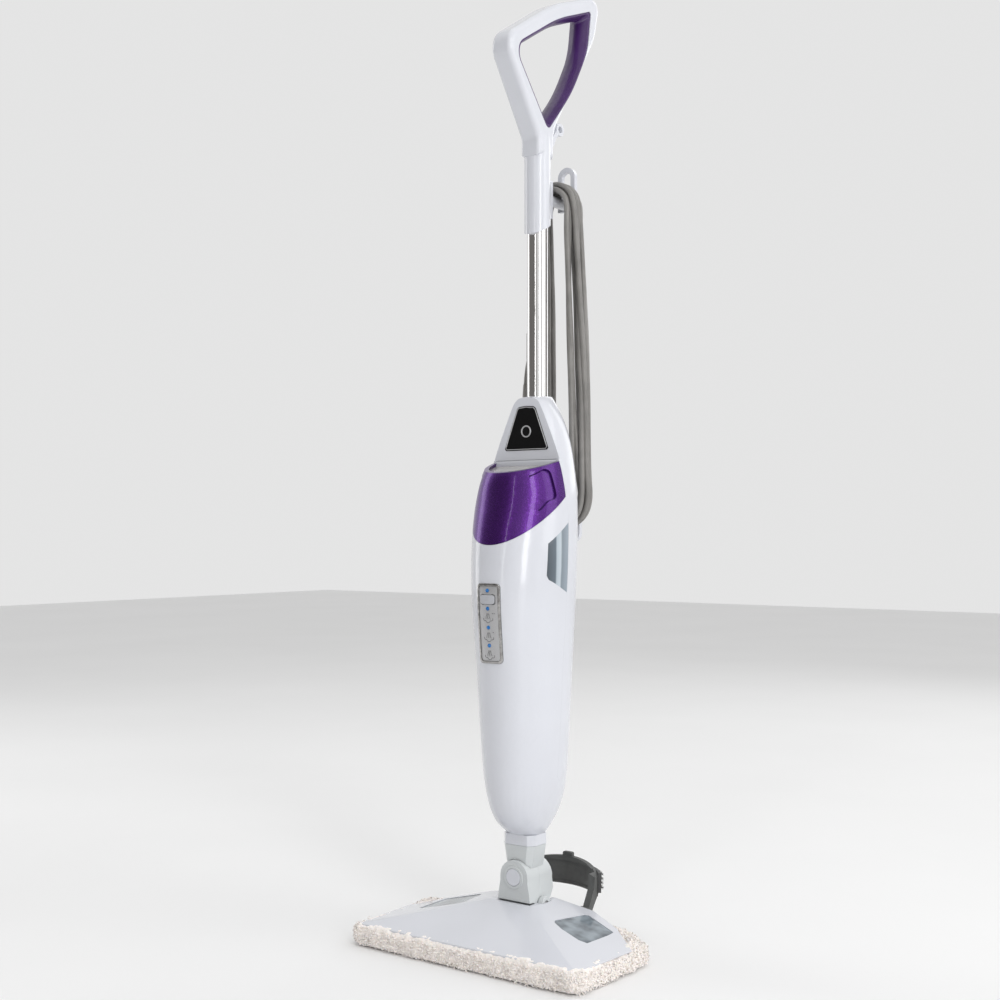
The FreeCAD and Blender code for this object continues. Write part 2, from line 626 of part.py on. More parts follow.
def tube_through(points, radius):
    """A hose of straight runs with a ball at each bend."""
    pieces = []
    for a, b in zip(points, points[1:]):
        direction = V(*b) - V(*a)
        pieces.append(Part.makeCylinder(radius, direction.Length, V(*a), direction))
    for p in points[1:-1]:
        pieces.append(Part.makeSphere(radius, V(*p)))
    return fused(pieces)


# ---- tube and handle ----------------------------------------------------------------
# (Y, Z, corner radius)
LOOP_OUT = [(9.5, 945, 0.5), (9.5, 966, 18), (-60, 1069, 25), (45, 1137, 250), (149, 1178, 15),
            (135, 1117, 70), (41.5, 978, 50), (41.5, 945, 0.5)]
LOOP_IN = [(27, 977, 7), (-43.7, 1061.6, 19), (48, 1119, 280), (123, 1150, 3.5), (115, 1095, 115),
           (80, 1035, 240)]
LOOP_MIDDLE = (36.0, 1056.0)    # centre of the largest circle inside the grip opening
LOOP_INRADIUS = 47.0
LOOP_HALF = 15.0
RING_HALF = LOOP_HALF - 0.8
RING_BULGE = 6.5                # how far the ring's middle stands into the opening


def grip_wire(x, inset):
    """The grip opening's contour at one X, drawn in by inset round the loop's middle."""
    scale = 1.0 - inset / LOOP_INRADIUS
    cy, cz = LOOP_MIDDLE
    return rounded_wire(LOOP_IN, lambda y, z: V(x, cy + (y - cy) * scale, cz + (z - cz) * scale))


def handle_parts():
    outline = rounded_wire(LOOP_OUT, lambda y, z: V(-LOOP_HALF, y, z))
    frame = Part.Face(outline).extrude(V(2 * LOOP_HALF, 0, 0))
    frame = rounded(frame, 7.0, lambda e: e.BoundBox.XLength < 1e-3 and e.BoundBox.ZMax > 950)
    opening = Part.Face(grip_wire(-2 * LOOP_HALF, 0.0)).extrude(V(4 * LOOP_HALF, 0, 0))
    frame = frame.cut(opening)
    sleeve = rod((0, TUBE_Y, SLEEVE_LOW), (0, 0, 1), SLEEVE_R, SLEEVE_TOP - SLEEVE_LOW)
    slant = prism_x([(0, 840), (0, 846), (50, 872), (50, 840)], -30, 30)
    handle = fused([frame, sleeve.cut(slant)])
    handle = handle.cut(rod((0, TUBE_Y, 800), (0, 0, 1), TUBE_R, 130))
    right = box(0, 60, -100, 200, 800, 1250)
    save("handle_right", handle.common(right))
    save("handle_left", handle.cut(right))

    ring = Part.Face(grip_wire(-RING_HALF, 0.0)).extrude(V(2 * RING_HALF, 0, 0))
    edge = RING_HALF + 0.2
    shoulder = (edge * 0.55, RING_BULGE - 1.6)
    profile = [(-edge, 2.0), (-shoulder[0], shoulder[1]), (0.0, RING_BULGE), shoulder, (edge, 2.0)]
    void = Part.makeLoft([grip_wire(x, inset) for x, inset in profile], True, False)
    save("grip_ring", ring.cut(void))

    tube = pipe((0, TUBE_Y, 585), (0, 0, 1), TUBE_R, TUBE_R - 1.2, 345)
    save("handle_tube", tube)
    socket = pipe((0, TUBE_Y, 580), (0, 0, 1), TUBE_R + 3, TUBE_R, 40)
    socket = socket.fuse(pipe((0, TUBE_Y, 580), (0, 0, 1), TUBE_R + 3, 4, 5)).removeSplitter()
    save("tube_socket", socket)
    clip_arm = prism_x([(40, 950), (44, 949), (62, 981), (58, 984), (44, 966), (40, 966)], -5, 5)
    eyelet = rod((-5, 68, 989), (1, 0, 0), 8.0, 10).cut(rod((-6, 68, 989), (1, 0, 0), 4.0, 12))
    neck = prism_x([(57, 981), (62, 978), (66, 984), (62, 988)], -5, 5).cut(
        rod((-6, 68, 989), (1, 0, 0), 4.0, 12))
    clip = fused([clip_arm, neck, eyelet]).cut(handle)
    save("cord_clip", clip)


def hook_lip(y0, y1, z0, z1, half, slot_half):
    """An arch-shaped lip with a slot."""
    def arch(w, top, low):
        plate = box(-w, w, y0, y1, low, top - w)
        return plate.fuse(rod((0, y0, top - w), (0, 1, 0), w, y1 - y0))
    return arch(half, z1, z0).cut(arch(slot_half, z1 - 6.5, z0 + 16)).removeSplitter()


def hook_parts():
    base = box(-9, 9, 35, 46, 874, 920)
    base = base.cut(rod((0, TUBE_Y, 800), (0, 0, 1), SLEEVE_R, 200))
    base = base.cut(rod((0, 30, HOOK_Z), (0, 1, 0), 4.0 + FIT, 40))
    save("hook_base", base)
    arm = rod((0, 46.4, HOOK_Z), (0, 1, 0), 6.5, 42)
    spigot = rod((0, 42.5, HOOK_Z), (0, 1, 0), 4.0, 6)
    lip = hook_lip(88.2, 94.2, 892, 947, 12.5, 6.5)
    save("cord_hook", fused([arm, spigot, lip]))

    arm = rod((0, 53.2, LOW_HOOK_Z), (0, 1, 0), 6.0, 48)
    lip = hook_lip(99.4, 105.4, 0, 54, 12.5, 6.5)
    lip.rotate(V(0, 0, 0), V(0, 1, 0), 180)
    lip.translate(V(0, 0, LOW_HOOK_Z + 12))
    save("lower_cord_hook", fused([arm, lip]))


# ---- cord ---------------------------------------------------------------------------
LEAD = [(-19.5, 30.0, 672.0), (-19.5, 32.0, 692.0), (-18.0, 40.0, 716.0), (-19.0, 49.0, 744.0),
        (-23.0, 57.0, 776.0), (-26.0, 60.0, 806.0)]
TAIL = [(-33.0, 84.0, 604.0), (-38.0, 88.0, 626.0), (-44.0, 89.5, 648.0), (-48.0, 90.0, 670.0),
        (-48.5, 90.0, 690.0)]
PLUG_X = -48.5
PLUG_Y = 90.0
PLUG_Z = 690.0                  # where the tail enters the plug

# (X, Z, corner radius)
HANK_OUT = [(-27, 923, 27), (32, 923, 27), (39, 640, 300), (39, 498, 34), (-33, 498, 34), (-33, 640, 300)]
HANK_IN = [(-13, 908.5, 15), (18, 908.5, 15), (24, 640, 300), (24, 512.5, 20), (-18, 512.5, 20),
           (-18, 640, 300)]


def route_tube(points, radius, name):
    """A tube along straight runs joined by tangent arcs."""
    corners = [V(*p) for p in points]
    edges = []
    start = corners[0]
    radii = []
    for before, corner, after in zip(corners, corners[1:], corners[2:]):
        back = before - corner
        ahead = after - corner
        turn = math.pi - back.getAngle(ahead)
        reach = 0.45 * min(back.Length, ahead.Length)
        bend = reach / math.tan(turn / 2)
        radii.append(round(bend, 1))
        back.normalize()
        ahead.normalize()
        enter = corner + back * reach
        leave = corner + ahead * reach
        middle = back + ahead
        middle.normalize()
        centre = corner + middle * (bend / math.cos(turn / 2))
        arc_mid = centre - middle * bend
        edges.append(Part.LineSegment(start, enter).toShape())
        edges.append(Part.Arc(enter, arc_mid, leave).toShape())
        start = leave
    edges.append(Part.LineSegment(start, corners[-1]).toShape())
    path = Part.Wire(edges)
    length = sum(edge.Length for edge in edges)
    direction = corners[1] - corners[0]
    ring = Part.Wire([Part.makeCircle(radius, corners[0], direction)])
    tube = path.makePipeShell([ring], True, True)
    expected = math.pi * radius ** 2 * length
    print(f"{name}: length {length:.1f}, radii {radii}, volume {tube.Volume:.0f} of {expected:.0f}")
    return tube


def hank_form():
    """The long loop of cord wound round the two hooks."""
    front, rear = 47.5, 86.0
    outer = Part.Face(rounded_wire(HANK_OUT, lambda x, z: V(x, front, z))).extrude(V(0, rear - front, 0))
    inner = Part.Face(rounded_wire(HANK_IN, lambda x, z: V(x, front, z))).extrude(V(0, rear - front, 0))
    ring = outer.cut(inner)
    ring.rotate(V(0, front, 915), V(1, 0, 0), HANK_LEAN)
    return ring


def cord_parts():
    relief = rod((RELIEF_X, RELIEF_Y, 636), (0, 0, 1), RELIEF_R, 16)
    taper = Part.makeCone(RELIEF_R, 4.0, 20, V(RELIEF_X, RELIEF_Y, 652), V(0, 0, 1))
    save("strain_relief", fused([relief, taper]))
    tubes = [route_tube(LEAD, CORD_D / 2, "lead"), route_tube(TAIL, CORD_D / 2, "tail")]
    save("cord_lead", Part.makeCompound(tubes))
    save("cord_hank", hank_form())
    neck = Part.makeCone(4.2, 6.5, 22, V(PLUG_X, PLUG_Y, PLUG_Z), V(0, 0, 1))
    body = box(PLUG_X - 10.5, PLUG_X + 10.5, PLUG_Y - 7.5, PLUG_Y + 7.5, PLUG_Z + 21, PLUG_Z + 54)
    save("plug_body", fused([neck, rounded(body, 4.5, upright_edge)]))
    pins = [box(x - 0.8, x + 0.8, PLUG_Y - 3.2, PLUG_Y + 3.2, PLUG_Z + 54, PLUG_Z + 72)
            for x in (PLUG_X - 6.3, PLUG_X + 6.3)]
    save("plug_pins", Part.makeCompound(pins))


def body_screw_parts():
    screws = []
    for x, z in SCREW_PLACES:
        head = rod((x, 20, z), (0, 1, 0), 3.2, 60).common(skin(0.4, 1.8))
        shank = rod((x, 40, z), (0, 1, 0), 1.5, 40).common(body_form(1.7))
        screws.append(head.fuse(shank).removeSplitter())
    save("body_screws", Part.makeCompound([s for screw in screws for s in screw.Solids]))


def main():
    os.makedirs("parts", exist_ok=True)
    foot_parts()
    pad_part()
    hinge_parts()
    scrubber_parts()
    yoke_parts()
    neck_parts()
    shell_parts()
    panel_parts()
    tank_parts()
    inside_parts()
    handle_parts()
    hook_parts()
    cord_parts()
    body_screw_parts()


main()
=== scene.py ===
import json
import math
import random

import bmesh
import bpy
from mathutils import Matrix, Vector, noise
from mathutils.bvhtree import BVHTree


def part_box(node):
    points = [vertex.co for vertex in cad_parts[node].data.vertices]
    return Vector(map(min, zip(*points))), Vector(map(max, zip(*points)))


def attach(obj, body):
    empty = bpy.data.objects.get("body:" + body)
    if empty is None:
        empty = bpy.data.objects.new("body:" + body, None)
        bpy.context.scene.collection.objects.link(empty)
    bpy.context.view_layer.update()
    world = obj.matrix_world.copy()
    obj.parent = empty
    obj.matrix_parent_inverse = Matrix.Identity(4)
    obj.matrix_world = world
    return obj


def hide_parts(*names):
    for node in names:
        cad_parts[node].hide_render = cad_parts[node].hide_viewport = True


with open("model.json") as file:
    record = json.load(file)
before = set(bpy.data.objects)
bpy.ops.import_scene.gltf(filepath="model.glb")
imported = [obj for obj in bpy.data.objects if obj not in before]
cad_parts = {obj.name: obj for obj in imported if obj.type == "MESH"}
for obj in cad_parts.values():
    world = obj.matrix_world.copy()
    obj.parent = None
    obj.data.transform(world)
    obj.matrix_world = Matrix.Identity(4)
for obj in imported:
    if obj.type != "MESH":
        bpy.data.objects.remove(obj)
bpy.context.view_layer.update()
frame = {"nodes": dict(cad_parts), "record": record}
NODES = frame["nodes"]
SLOTS = {row["node"]: row["material_slot"] for row in frame["record"]["subparts"]}
MM = 0.001


# ---- materials ------------------------------------------------------------------------
class Surface:
    """A material built from nodes: base colour, roughness and bump each with their own detail."""

    def __init__(self, name, colour, roughness, metallic=0.0, coat=0.0, ior=1.5):
        self.material = bpy.data.materials.new(name)
        self.material.use_nodes = True
        self.tree = self.material.node_tree
        self.shader = self.tree.nodes["Principled BSDF"]
        self.shader.inputs["Base Color"].default_value = (*colour, 1)
        self.shader.inputs["Roughness"].default_value = roughness
        self.shader.inputs["Metallic"].default_value = metallic
        self.shader.inputs["Coat Weight"].default_value = coat
        self.shader.inputs["Coat Roughness"].default_value = 0.06
        self.shader.inputs["IOR"].default_value = ior
        self.colour = colour
        self.place = self.tree.nodes.new("ShaderNodeTexCoord").outputs["Object"]
        self.normal = None

    def node(self, kind, **values):
        made = self.tree.nodes.new(kind)
        for key, value in values.items():
            setattr(made, key, value)
        return made

    def link(self, output, target):
        self.tree.links.new(output, target)

    def noise(self, scale, detail=3.0, stretch=None):
        made = self.node("ShaderNodeTexNoise")
        made.inputs["Scale"].default_value = scale
        made.inputs["Detail"].default_value = detail
        self.link(self.stretched(stretch), made.inputs["Vector"])
        return made.outputs["Fac"]

    def cells(self, scale, stretch=None, output="Distance"):
        made = self.node("ShaderNodeTexVoronoi")
        made.inputs["Scale"].default_value = scale
        self.link(self.stretched(stretch), made.inputs["Vector"])
        return made.outputs[output]

    def stretched(self, stretch):
        if stretch is None:
            return self.place
        mapping = self.node("ShaderNodeMapping")
        mapping.inputs["Scale"].default_value = stretch
        self.link(self.place, mapping.inputs["Vector"])
        return mapping.outputs["Vector"]

    def ramp(self, source, stops):
        made = self.node("ShaderNodeValToRGB")
        elements = made.color_ramp.elements
        while len(elements) < len(stops):
            elements.new(0.5)
        for element, (position, colour) in zip(elements, stops):
            element.position = position
            element.color = (*colour, 1)
        self.link(source, made.inputs["Fac"])
        return made.outputs["Color"]

    def vary_colour(self, source, low, high, start=0.3, end=0.7):
        self.link(self.ramp(source, [(start, low), (end, high)]), self.shader.inputs["Base Color"])

    def vary_roughness(self, source, low, high, start=0.3, end=0.7):
        made = self.node("ShaderNodeMapRange")
        made.inputs["From Min"].default_value = start
        made.inputs["From Max"].default_value = end
        made.inputs["To Min"].default_value = low
        made.inputs["To Max"].default_value = high
        self.link(source, made.inputs["Value"])
        self.link(made.outputs["Result"], self.shader.inputs["Roughness"])

    def bump(self, source, strength, distance):
        made = self.node("ShaderNodeBump")
        made.inputs["Strength"].default_value = strength
        made.inputs["Distance"].default_value = distance
        self.link(source, made.inputs["Height"])
        if self.normal is not None:
            self.link(self.normal, made.inputs["Normal"])
        self.normal = made.outputs["Normal"]
        self.link(self.normal, self.shader.inputs["Normal"])


def shade(colour, factor):
    return tuple(min(1.0, c * factor) for c in colour)


def moulded(name, colour, roughness, coat, grain, spread=0.02):
    """Injection-moulded plastic with a slight flow pattern and fine surface grain."""
    surface = Surface(name, colour, roughness, coat=coat)
    surface.vary_colour(surface.noise(9.0, 3.0), shade(colour, 1 - spread), shade(colour, 1 + spread))
    surface.vary_roughness(surface.noise(22.0, 3.0), roughness * 0.88, roughness * 1.12)
    surface.bump(surface.noise(700.0, 2.0), grain, 0.0002)
    return surface


def white_plastic():
    return moulded("white_plastic", (0.655, 0.668, 0.715), 0.20, 0.5, 0.012).material


def neck_plastic():
    return moulded("neck_plastic", (0.60, 0.625, 0.63), 0.34, 0.1, 0.08, 0.03).material


def silver_plate():
    """Silver-painted plate: fine metallic pigment under a satin lacquer."""
    surface = Surface("silver_plate", (0.52, 0.52, 0.53), 0.34, metallic=0.7, coat=0.2)
    surface.vary_colour(surface.cells(3200.0, output="Distance"), (0.47, 0.47, 0.48), (0.57, 0.57, 0.58))
    surface.vary_roughness(surface.noise(90.0, 2.0), 0.30, 0.38)
    surface.bump(surface.noise(1600.0, 2.0), 0.03, 0.0001)
    return surface.material


def purple_metallic():
    """Metallic flake under a clear coat."""
    base = (0.075, 0.012, 0.175)
    surface = Surface("purple_metallic", base, 0.26, metallic=0.85, coat=0.4)
    flakes = surface.cells(2600.0, output="Color")
    split = surface.node("ShaderNodeSeparateColor")
    surface.link(flakes, split.inputs["Color"])
    stops = [(0.0, shade(base, 0.8)), (0.55, base), (0.9, shade(base, 1.3)), (1.0, (0.18, 0.06, 0.36))]
    surface.link(surface.ramp(split.outputs["Red"], stops), surface.shader.inputs["Base Color"])
    surface.vary_roughness(split.outputs["Green"], 0.22, 0.42, 0.0, 1.0)
    surface.bump(split.outputs["Blue"], 0.06, 0.0002)
    return surface.material


def purple_grip():
    surface = Surface("purple_grip", (0.045, 0.008, 0.10), 0.36, coat=0.2)
    surface.vary_colour(surface.noise(30.0), (0.038, 0.0065, 0.085), (0.052, 0.010, 0.115))
    surface.vary_roughness(surface.noise(220.0), 0.36, 0.50)
    surface.bump(surface.cells(1500.0), 0.25, 0.0003)
    return surface.material


def dark_plastic():
    surface = Surface("dark_plastic", (0.085, 0.087, 0.085), 0.55)
    surface.vary_colour(surface.noise(40.0, 5.0), (0.070, 0.073, 0.071), (0.105, 0.107, 0.105))
    surface.vary_roughness(surface.noise(150.0), 0.46, 0.66)
    surface.bump(surface.cells(900.0), 0.35, 0.0004)
    return surface.material


def black_gloss():
    surface = Surface("black_gloss", (0.004, 0.004, 0.0045), 0.14, ior=1.4)
    surface.vary_colour(surface.noise(30.0), (0.0035, 0.0035, 0.004), (0.005, 0.005, 0.0055))
    surface.vary_roughness(surface.noise(40.0, 2.0), 0.12, 0.17)
    surface.bump(surface.noise(600.0), 0.01, 0.0002)
    return surface.material


def clear_plastic(name, colour, roughness, transmission, alpha=1.0):
    surface = Surface(name, colour, roughness, coat=0.3, ior=1.45)
    surface.shader.inputs["Transmission Weight"].default_value = transmission
    surface.shader.inputs["Alpha"].default_value = alpha
    surface.vary_roughness(surface.noise(70.0, 4.0), roughness * 0.7, roughness * 1.4)
    surface.bump(surface.noise(25.0), 0.12, 0.0015)
    return surface.material


def clear_tank():
    return clear_plastic("clear_tank", (0.78, 0.76, 0.74), 0.16, 0.45)


def smoked_window():
    """Smoky pane with the pale shapes of the steam ducts showing faintly through it."""
    surface = Surface("smoked_window", (0.16, 0.19, 0.22), 0.10, coat=0.3, ior=1.45)
    surface.vary_colour(surface.noise(42.0, 2.0), (0.085, 0.105, 0.125), (0.27, 0.315, 0.35), 0.38, 0.62)
    surface.vary_roughness(surface.noise(70.0, 4.0), 0.07, 0.14)
    surface.bump(surface.noise(25.0), 0.12, 0.0015)
    return surface.material


def body_window():
    """Dark glass over the tank's front part, and over a pale inner wall behind it."""
    surface = Surface("body_window", (0.08, 0.10, 0.12), 0.10, coat=0.5, ior=1.45)
    split = surface.node("ShaderNodeSeparateXYZ")
    surface.link(surface.place, split.inputs["Vector"])
    streaks = surface.noise(60.0, 5.0, (1.0, 1.0, 0.35))
    wall = surface.node("ShaderNodeMath", operation="MULTIPLY_ADD")
    surface.link(streaks, wall.inputs[0])
    wall.inputs[1].default_value = 0.004
    surface.link(split.outputs["Y"], wall.inputs[2])
    stops = [(0.0, (0.055, 0.068, 0.082)), (0.40, (0.12, 0.15, 0.18)), (0.46, (0.42, 0.48, 0.53)),
             (0.62, (0.50, 0.56, 0.61)), (0.68, (0.20, 0.24, 0.28)), (1.0, (0.30, 0.35, 0.40))]
    scaled_y = surface.node("ShaderNodeMapRange")
    scaled_y.inputs["From Min"].default_value = -0.031
    scaled_y.inputs["From Max"].default_value = 0.008
    surface.link(wall.outputs[0], scaled_y.inputs["Value"])
    surface.link(surface.ramp(scaled_y.outputs["Result"], stops), surface.shader.inputs["Base Color"])
    surface.vary_roughness(surface.noise(70.0, 4.0), 0.08, 0.14)
    surface.bump(surface.noise(25.0), 0.1, 0.001)
    return surface.material


def chrome():
    surface = Surface("chrome", (0.80, 0.79, 0.78), 0.10, metallic=1.0)
    drawn = surface.noise(40.0, 3.0, (30.0, 30.0, 0.6))
    surface.vary_colour(drawn, (0.74, 0.73, 0.72), (0.86, 0.85, 0.845))
    surface.vary_roughness(drawn, 0.06, 0.15)
    surface.bump(drawn, 0.03, 0.0004)
    return surface.material


def bezel_chrome():
    """Darker plating for the panel's rim, brushed round its edge."""
    surface = Surface("bezel_chrome", (0.36, 0.35, 0.34), 0.16, metallic=1.0)
    surface.vary_colour(surface.noise(160.0, 2.0), (0.25, 0.245, 0.24), (0.50, 0.49, 0.48))
    surface.vary_roughness(surface.noise(300.0, 2.0), 0.12, 0.24)
    surface.bump(surface.noise(500.0, 2.0), 0.04, 0.0002)
    return surface.material


def bright_metal(name, colour, roughness, scale=400.0):
    surface = Surface(name, colour, roughness, metallic=1.0)
    surface.vary_colour(surface.noise(scale * 0.3), shade(colour, 0.85), shade(colour, 1.1))
    surface.vary_roughness(surface.noise(scale, 4.0), roughness * 0.8, roughness * 1.3)
    surface.bump(surface.noise(scale), 0.12, 0.0003)
    return surface.material


def rubbery(name, colour, roughness=0.6, scale=700.0):
    surface = Surface(name, colour, roughness)
    surface.vary_colour(surface.noise(50.0, 4.0), shade(colour, 0.86), shade(colour, 1.12))
    surface.vary_roughness(surface.noise(90.0), roughness * 0.85, roughness * 1.15)
    surface.bump(surface.noise(scale, 2.0), 0.2, 0.0003)
    return surface.material


def cord_grey():
    """Extruded sheath: soft sheen, faint lengthwise scuffs."""
    surface = Surface("cord_grey", (0.20, 0.19, 0.18), 0.42, coat=0.1)
    surface.vary_colour(surface.noise(35.0, 5.0), (0.165, 0.158, 0.150), (0.235, 0.226, 0.215))
    surface.vary_roughness(surface.noise(120.0, 3.0), 0.34, 0.52)
    surface.bump(surface.noise(500.0, 3.0), 0.18, 0.0003)
    return surface.material


def fleece():
    """Looped pile: warm cream with shadow between the tufts."""
    surface = Surface("fleece", (0.92, 0.87, 0.83), 0.95)
    surface.shader.inputs["Sheen Weight"].default_value = 0.5
    surface.shader.inputs["Sheen Roughness"].default_value = 0.5
    surface.shader.inputs["Subsurface Weight"].default_value = 0.08
    surface.shader.inputs["Subsurface Radius"].default_value = (0.004, 0.003, 0.002)
    tufts = surface.cells(420.0)
    # painted shade: the cream darkens towards the cell edges, where the pile dips between the tufts
    stops = [(0.0, (0.96, 0.915, 0.880)), (0.6, (0.93, 0.875, 0.835)), (1.0, (0.82, 0.745, 0.69))]
    surface.link(surface.ramp(tufts, stops), surface.shader.inputs["Base Color"])
    surface.bump(tufts, 0.45, -0.0010)
    surface.bump(surface.noise(1500.0, 4.0), 0.3, 0.0004)
    return surface.material


def hook_tape():
    surface = Surface("hook_tape", (0.62, 0.62, 0.60), 0.9)
    surface.vary_colour(surface.cells(900.0), (0.70, 0.70, 0.68), (0.45, 0.45, 0.44), 0.1, 0.8)
    surface.bump(surface.cells(900.0), 0.6, 0.0005)
    return surface.material


def circuit_green():
    surface = Surface("board_green", (0.02, 0.16, 0.06), 0.35, coat=0.4)
    surface.vary_colour(surface.cells(220.0, output="Distance"), (0.015, 0.12, 0.04), (0.03, 0.22, 0.09))
    surface.bump(surface.noise(300.0), 0.1, 0.0004)
    return surface.material


def led_blue():
    surface = Surface("led_blue", (0.0, 0.12, 0.38), 0.15, coat=0.6)
    surface.shader.inputs["Emission Color"].default_value = (0.0, 0.20, 0.60, 1)
    surface.shader.inputs["Emission Strength"].default_value = 0.12
    surface.vary_roughness(surface.noise(400.0), 0.1, 0.2)
    return surface.material


MAKERS = {
    "white_plastic": white_plastic,
    "neck_plastic": neck_plastic,
    "purple_metallic": purple_metallic,
    "purple_grip": purple_grip,
    "dark_plastic": dark_plastic,
    "black_gloss": black_gloss,
    "clear_tank": clear_tank,
    "smoked_window": smoked_window,
    "chrome": chrome,
    "steel": lambda: bright_metal("steel", (0.52, 0.52, 0.53), 0.32),
    "aluminium": lambda: bright_metal("aluminium", (0.66, 0.66, 0.67), 0.42, 180.0),
    "brass": lambda: bright_metal("brass", (0.68, 0.50, 0.22), 0.28),
    "silver_plate": silver_plate,
    "button_grey": lambda: moulded("button_grey", (0.46, 0.47, 0.50), 0.35, 0.1, 0.05).material,
    "led_blue": led_blue,
    "board_green": circuit_green,
    "rubber_black": lambda: rubbery("rubber_black", (0.022, 0.022, 0.022)),
    "silicone": lambda: rubbery("silicone", (0.58, 0.57, 0.54), 0.45),
    "cord_grey": cord_grey,
    "fleece": fleece,
    "hook_tape": hook_tape,
    "bristle": lambda: rubbery("bristle", (0.055, 0.055, 0.056), 0.5),
}
MATERIALS = {slot: make() for slot, make in MAKERS.items()}


# ---- CAD pieces ---------------------------------------------------------------------
EDGE_WIDTH = {
    "foot_shell": 1.6, "hinge_bracket": 0.8, "yoke_front": 1.5, "yoke_rear": 1.5, "neck_lower": 1.2,
    "neck_collar": 0.8, "upper_cover": 2.5, "badge": 0.4, "scrubber_frame": 0.8, "cord_hook": 1.2,
    "lower_cord_hook": 1.2, "hook_base": 1.0, "cord_clip": 0.8, "scrubber_lugs": 0.8, "panel_bezel": 0.35,
    "panel_plate": 0.2, "steam_button": 0.5, "tank_cap": 0.8, "tank_reservoir": 0.8, "tank_front": 0.5,
    "handle_left": 0.25, "handle_right": 0.25, "grip_ring": 0.5, "front_shell": 0.35, "rear_shell": 0.35,
    "plug_body": 0.8, "plug_pins": 0.3, "tube_socket": 0.4, "pivot_cap": 0.3, "side_window_left": 0.2,
    "side_window_right": 0.2, "foot_window_left": 0.3, "foot_window_right": 0.3, "strain_relief": 0.5,
}


def dress_cad():
    own = {"side_window_left": body_window(), "panel_bezel": bezel_chrome()}
    own["side_window_right"] = own["side_window_left"]
    for name, piece in NODES.items():
        piece.data.materials.clear()
        piece.data.materials.append(own.get(name, MATERIALS[SLOTS[name]]))
        for polygon in piece.data.polygons:
            polygon.use_smooth = True
            polygon.material_index = 0
        weld = piece.modifiers.new("weld", "WELD")
        weld.merge_threshold = 0.00002
        width = EDGE_WIDTH.get(name)
        if width:
            bevel = piece.modifiers.new("edges", "BEVEL")
            bevel.width = width * MM
            bevel.segments = 3
            bevel.limit_method = "ANGLE"
            bevel.angle_limit = math.radians(28)
            bevel.harden_normals = False
            bevel.use_clamp_overlap = True
        normals = piece.modifiers.new("normals", "WEIGHTED_NORMAL")
        normals.keep_sharp = True
        normals.weight = 60


# ---- mesh helpers -------------------------------------------------------------------
def add_mesh(name, build, slot, body, smooth=True):
    """A new piece from a function that fills a bmesh, with the slot's material, riding on a body."""
    mesh = bpy.data.meshes.new(name)
    bm = bmesh.new()
    build(bm)
    bm.to_mesh(mesh)
    bm.free()
    piece = bpy.data.objects.new(name, mesh)
    bpy.context.scene.collection.objects.link(piece)
    mesh.materials.append(MATERIALS[slot])
    for polygon in mesh.polygons:
        polygon.use_smooth = smooth
    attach(piece, body)
    return piece


def node_tree(node):
    """A search tree over a CAD node's faces."""
    mesh = NODES[node].data
    return BVHTree.FromPolygons([v.co for v in mesh.vertices], [tuple(p.vertices) for p in mesh.polygons])


# ---- cord ---------------------------------------------------------------------------
CORD_D = 0.007
LEAD = [(-19.5, 30.0, 672.0), (-19.5, 32.0, 692.0), (-18.0, 40.0, 716.0), (-19.0, 49.0, 744.0),
        (-23.0, 57.0, 776.0), (-26.0, 60.0, 806.0)]
TAIL = [(-33.0, 84.0, 604.0), (-38.0, 88.0, 626.0), (-44.0, 89.5, 648.0), (-48.0, 90.0, 670.0),
        (-48.5, 90.0, 690.0)]
HANK_X = 2.5
HANK_TOP = 912.0                # the inner turns' highest and lowest places
HANK_LOW = 509.0
HANK_LEAN = 0.0306              # how far the hank leans back per millimetre of drop
LAYER = 7.0                     # the outer turns lie this far outside the inner ones
ARC_STEPS = 5                   # control points round each end of a turn, less one
RISE = (560, 610, 665, 720, 775, 825, 862)
# each turn: its row's Y, and its layer
TURN_PLACES = [(58.9, 0), (51.5, 0), (66.3, 0), (73.7, 0), (81.1, 0),
               (65.5, 1), (58.0, 1), (70.0, 1), (73.7, 1)]
ROW_MIDDLE = 66.0
FAN = 0.28                      # how much the rows spread between the hooks
SPREAD_HEIGHT = 280.0           # a turn reaches its full width this far below the upper hook
LEAN_START = 915.0              # the hank leans back from this height down


def half_width(z, layer):
    """A turn is narrow on the upper hook, and spreads as it hangs."""
    share = min(1.0, max(0.0, (HANK_TOP - z) / SPREAD_HEIGHT))
    return 22.0 + 3.2 * share + layer * (5.0 + 2.0 * share)


